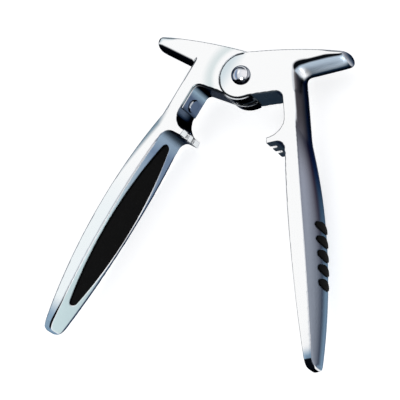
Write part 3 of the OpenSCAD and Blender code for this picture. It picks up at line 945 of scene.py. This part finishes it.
def blued_steel():
    """Dark, finely drawn spring steel with bare edges, with painted shade at its lower end and under the
    roof, a painted reflection where it bends and painted highlights on its front edges.
    """
    settings = bpy.context.scene.opener_steel
    material, shader = new_material("blued_steel")
    grain, coordinates = add_grain(material, scale=3000.0, stretch=(0.1, 1.0, 1.0))
    own = lever_frame(material, coordinates)
    # Painted shade at the strip's lower end and under the roof, a painted reflection where it bends, and
    # painted highlights on its front edges
    wall = ramp(material, own["Along"], (-28.0, settings.blued), (-25.0, settings.drawn),
                (-20.0, settings.drawn), (-16.8, settings.bend_reflection), (-14.2, settings.blued))
    edge = ramp(material, own["Along"], (-18.0, settings.bright), (-13.0, settings.blued))
    edge = paint(material, edge, (mask(material, own["Out"], *FORK_SPAN), settings.bright))
    roof = mask(material, own["Facing along"], -0.40, -0.85)
    in_front = mask(material, own["Facing up"], 0.45, 0.75)
    shade = paint(material, wall, (roof, settings.blued), (in_front, edge))
    put(material, shader.inputs["Base Color"], shade)
    put(material, shader.inputs["Roughness"], roughness(material, grain["Mask"], 0.14, 0.24))
    make_metal(shader)
    return material


def bright_steel():
    """Polished steel of the pivot rivet, with a painted reflection of the room on its dome: a white middle, a
    blue crescent on the left and a painted shadow on its lower side.
    """
    settings = bpy.context.scene.opener_steel
    material, shader = new_material("bright_steel")
    grain, coordinates = add_grain(material, scale=1500.0, stretch=EVEN_STRETCH)
    middle = pointing(material, coordinates["Normal"], CROWN_DIRECTION)
    low = pointing(material, coordinates["Normal"], SHADOW_DIRECTION)
    aside = pointing(material, coordinates["Normal"], SHEEN_DIRECTION)
    # Painted reflection of the room, chosen by which way the dome faces, with a painted shadow on its lower
    # side
    ring = ramp(material, middle, (0.0, settings.shadow), (0.30, settings.sheen), (0.50, settings.bright),
                (0.78, settings.bright), (0.88, settings.crown))
    crescent = ramp(material, middle, (0.0, settings.shadow), (0.38, settings.drawn),
                    (0.58, settings.bright), (0.70, settings.sheen), (0.82, settings.drawn),
                    (0.89, settings.crown))
    blue = mask(material, aside, 0.22, 0.52)
    dark = overlap(material, mask(material, middle, 0.86, 0.76), mask(material, low, 0.28, 0.42))
    shade = paint(material, ring, (blue, crescent), (dark, settings.shadow))
    put(material, shader.inputs["Base Color"], shade)
    put(material, shader.inputs["Roughness"], roughness(material, grain["Mask"], 0.05, 0.10))
    make_metal(shader)
    return material


def moulded_rubber():
    """Matt black rubber with a fine moulded grain."""
    settings = bpy.context.scene.opener_rubber
    material, shader = new_material("moulded_rubber")
    grain, _ = add_grain(material, scale=3500.0, stretch=EVEN_STRETCH)
    shade = paint(material, settings.rubber, (grain["Patches"], scaled(settings.rubber, RUBBER_PATCHES)))
    put(material, shader.inputs["Base Color"], shade)
    put(material, shader.inputs["Roughness"], roughness(material, grain["Mask"], 0.55, 0.75))
    bump = material.node_tree.nodes.new("ShaderNodeBump")
    put(material, bump.inputs["Height"], grain["Mask"])
    put(material, bump.inputs["Strength"], 0.25)
    put(material, bump.inputs["Distance"], 0.1 * MM)
    put(material, shader.inputs["Normal"], bump.outputs["Normal"])
    shader.inputs["Specular IOR Level"].default_value = 0.02
    return material


def floor_paper():
    """Pale matt paper with hardly any grain."""
    settings = bpy.context.scene.opener_stage
    material, shader = new_material("floor_paper")
    grain, _ = add_grain(material, scale=400.0, stretch=EVEN_STRETCH)
    shade = paint(material, scaled(settings.floor, FLOOR_GRAIN), (grain["Mask"], settings.floor))
    put(material, shader.inputs["Base Color"], shade)
    shader.inputs["Emission Color"].default_value = (1, 1, 1, 1)
    shader.inputs["Emission Strength"].default_value = settings.glow
    shader.inputs["Roughness"].default_value = 0.9
    shader.inputs["Specular IOR Level"].default_value = 0.1
    return material


class OPENER_OT_castings(Operator):
    """Make the two cast levers with rounded edges"""

    bl_idname = "opener.castings"
    bl_label = "Cast levers"

    def execute(self, context):
        settings = context.scene.opener_casting
        material = chrome_casting()
        for side, sign in SIDES.items():
            node = side + "_arm"
            piece = soft_edged(
                node, side + "_lever_casting", settings.step, settings,
                softness=casting_softness(side), lean=-sign * settings.lean)
            fit(piece, node, side + "_lever", material)
        return {"FINISHED"}


class OPENER_OT_rivets(Operator):
    """Make the pivot rivet and the rivet of the leaf spring"""

    bl_idname = "opener.rivets"
    bl_label = "Rivets"

    def execute(self, context):
        settings = context.scene.opener_steel
        piece = soft_edged("pivot_rivet", "domed_pivot_rivet", settings.step, settings)
        fit(piece, "pivot_rivet", "right_lever", bright_steel())
        piece = soft_edged("spring_rivet", "leaf_spring_rivet", settings.step, settings)
        fit(piece, "spring_rivet", "left_lever", blued_steel())
        return {"FINISHED"}


class OPENER_OT_leaf_spring(Operator):
    """Make the forked leaf spring, which bends from one lever to the other"""

    bl_idname = "opener.leaf_spring"
    bl_label = "Leaf spring"

    def execute(self, context):
        settings = context.scene.opener_steel
        piece = soft_edged("leaf_spring", "forked_leaf_spring", settings.step, settings)
        fit(piece, "leaf_spring", None, blued_steel())
        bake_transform(piece)
        return {"FINISHED"}


class OPENER_OT_grip_pads(Operator):
    """Make the rubber pads in the flat inner sides"""

    bl_idname = "opener.grip_pads"
    bl_label = "Grip pads"

    def execute(self, context):
        settings = context.scene.opener_rubber
        material = moulded_rubber()
        for side, sign in SIDES.items():
            node = side + "_grip_pad"
            piece = soft_edged(
                node, side + "_rubber_pad", settings.pad_step, settings,
                lean=-sign * context.scene.opener_casting.lean)
            fit(piece, node, side + "_lever", material)
        return {"FINISHED"}


class OPENER_OT_nubs(Operator):
    """Make the rubber nubs in the rounded outer sides"""

    bl_idname = "opener.nubs"
    bl_label = "Grip nubs"

    def execute(self, context):
        settings = context.scene.opener_rubber
        material = bpy.data.materials.get("moulded_rubber") or moulded_rubber()
        for side in SIDES:
            for number in range(1, NUB_COUNT + 1):
                node = f"{side}_nub_{number}"
                piece = soft_edged(node, f"{side}_rubber_nub_{number}", settings.nub_step, settings)
                fit(piece, node, side + "_lever", material)
        return {"FINISHED"}


def area_lamp(name, toward, distance, size, power, tint):
    """A round soft lamp that faces the middle of the picture."""
    settings = bpy.context.scene.opener_stage
    away = Vector(toward).normalized()
    bpy.ops.object.light_add(type="AREA", location=Vector(settings.aim) + distance * away)
    lamp = bpy.context.object
    lamp.name = name
    lamp.rotation_euler = away.to_track_quat("Z", "Y").to_euler()
    lamp.data.shape = "ELLIPSE"
    lamp.data.size = size
    lamp.data.size_y = size
    lamp.data.energy = power
    lamp.data.color = tint


def studio_sky():
    """A dim room with soft lights on the right, low on the left and above the opener."""
    settings = bpy.context.scene.opener_stage
    world = bpy.data.worlds.new("studio_sky")
    world.use_nodes = True
    nodes = world.node_tree.nodes
    view = nodes.new("ShaderNodeTexCoord").outputs["Generated"]
    lights = (
        (OVERHEAD, SKY_SPAN, settings.sky),
        (settings.side_direction, SIDE_LIGHT_SPAN, settings.side),
        (settings.low_direction, LOW_LIGHT_SPAN, settings.key),
        (settings.key_direction, KEY_LIGHT_SPAN, settings.key),
    )
    room = settings.horizon
    for toward, span, light in lights:
        share = mask(world, pointing(world, view, Vector(toward).normalized()), *span)
        room = paint(world, room, (share, light))
    put(world, nodes["Background"].inputs["Color"], room)
    return world


class OPENER_OT_stage(Operator):
    """Set the floor, the lamp, the dim room and the camera"""

    bl_idname = "opener.stage"
    bl_label = "Studio stage"

    def execute(self, context):
        settings = context.scene.opener_stage
        bpy.ops.mesh.primitive_plane_add(size=FLOOR_SIZE, location=(0, 0, CAD_BOX[0].z))
        floor = context.object
        floor.name = "floor"
        floor.data.materials.append(floor_paper())

        area_lamp(
            "fill_softbox", toward=(0.50, -0.78, 0.38), distance=1.0, size=0.5, power=3.0,
            tint=(0.95, 0.97, 1.0))
        context.scene.world = studio_sky()

        back = Vector((
            math.sin(settings.azimuth) * math.cos(settings.elevation),
            -math.cos(settings.azimuth) * math.cos(settings.elevation),
            math.sin(settings.elevation),
        ))
        level = Vector((-back.y, back.x, 0)).normalized()
        rise = back.cross(level)
        up = math.cos(settings.roll) * rise + math.sin(settings.roll) * level
        right = up.cross(back)
        turn = Matrix((right, up, back)).transposed().to_4x4()
        bpy.ops.object.camera_add(location=Vector(settings.aim) + settings.distance * back)
        camera = context.object
        camera.name = "camera"
        camera.rotation_euler = turn.to_euler()
        camera.data.sensor_width = SENSOR_WIDTH
        camera.data.lens = settings.lens
        context.scene.camera = camera
        context.scene.view_settings.view_transform = "Standard"
        return {"FINISHED"}


class OPENER_PT_panel(Panel):
    """Sidebar panel that lists the steps"""

    bl_idname = "OPENER_PT_panel"
    bl_label = "Champagne opener"
    bl_space_type = "VIEW_3D"
    bl_region_type = "UI"
    bl_category = "Opener"

    def draw(self, context):
        for operator in OPERATORS:
            self.layout.operator(operator.bl_idname)


OPERATORS = (
    OPENER_OT_castings,
    OPENER_OT_rivets,
    OPENER_OT_leaf_spring,
    OPENER_OT_grip_pads,
    OPENER_OT_nubs,
    OPENER_OT_stage,
)
GROUPS = {
    "opener_casting": CastingSettings,
    "opener_steel": SteelSettings,
    "opener_rubber": RubberSettings,
    "opener_stage": StageSettings,
}


def register():
    """Register the settings, the operators and the panel."""
    for name, group in GROUPS.items():
        bpy.utils.register_class(group)
        setattr(bpy.types.Scene, name, PointerProperty(type=group))
    for operator in OPERATORS:
        bpy.utils.register_class(operator)
    bpy.utils.register_class(OPENER_PT_panel)


def unregister():
    """Take back what register() added."""
    bpy.utils.unregister_class(OPENER_PT_panel)
    for operator in reversed(OPERATORS):
        bpy.utils.unregister_class(operator)
    for name, group in reversed(GROUPS.items()):
        delattr(bpy.types.Scene, name)
        bpy.utils.unregister_class(group)


def main():
    """Make every piece and the stage."""
    register()
    bpy.ops.opener.castings()
    bpy.ops.opener.rivets()
    bpy.ops.opener.leaf_spring()
    bpy.ops.opener.grip_pads()
    bpy.ops.opener.nubs()
    bpy.ops.opener.stage()


if __name__ == "__main__":
    main()
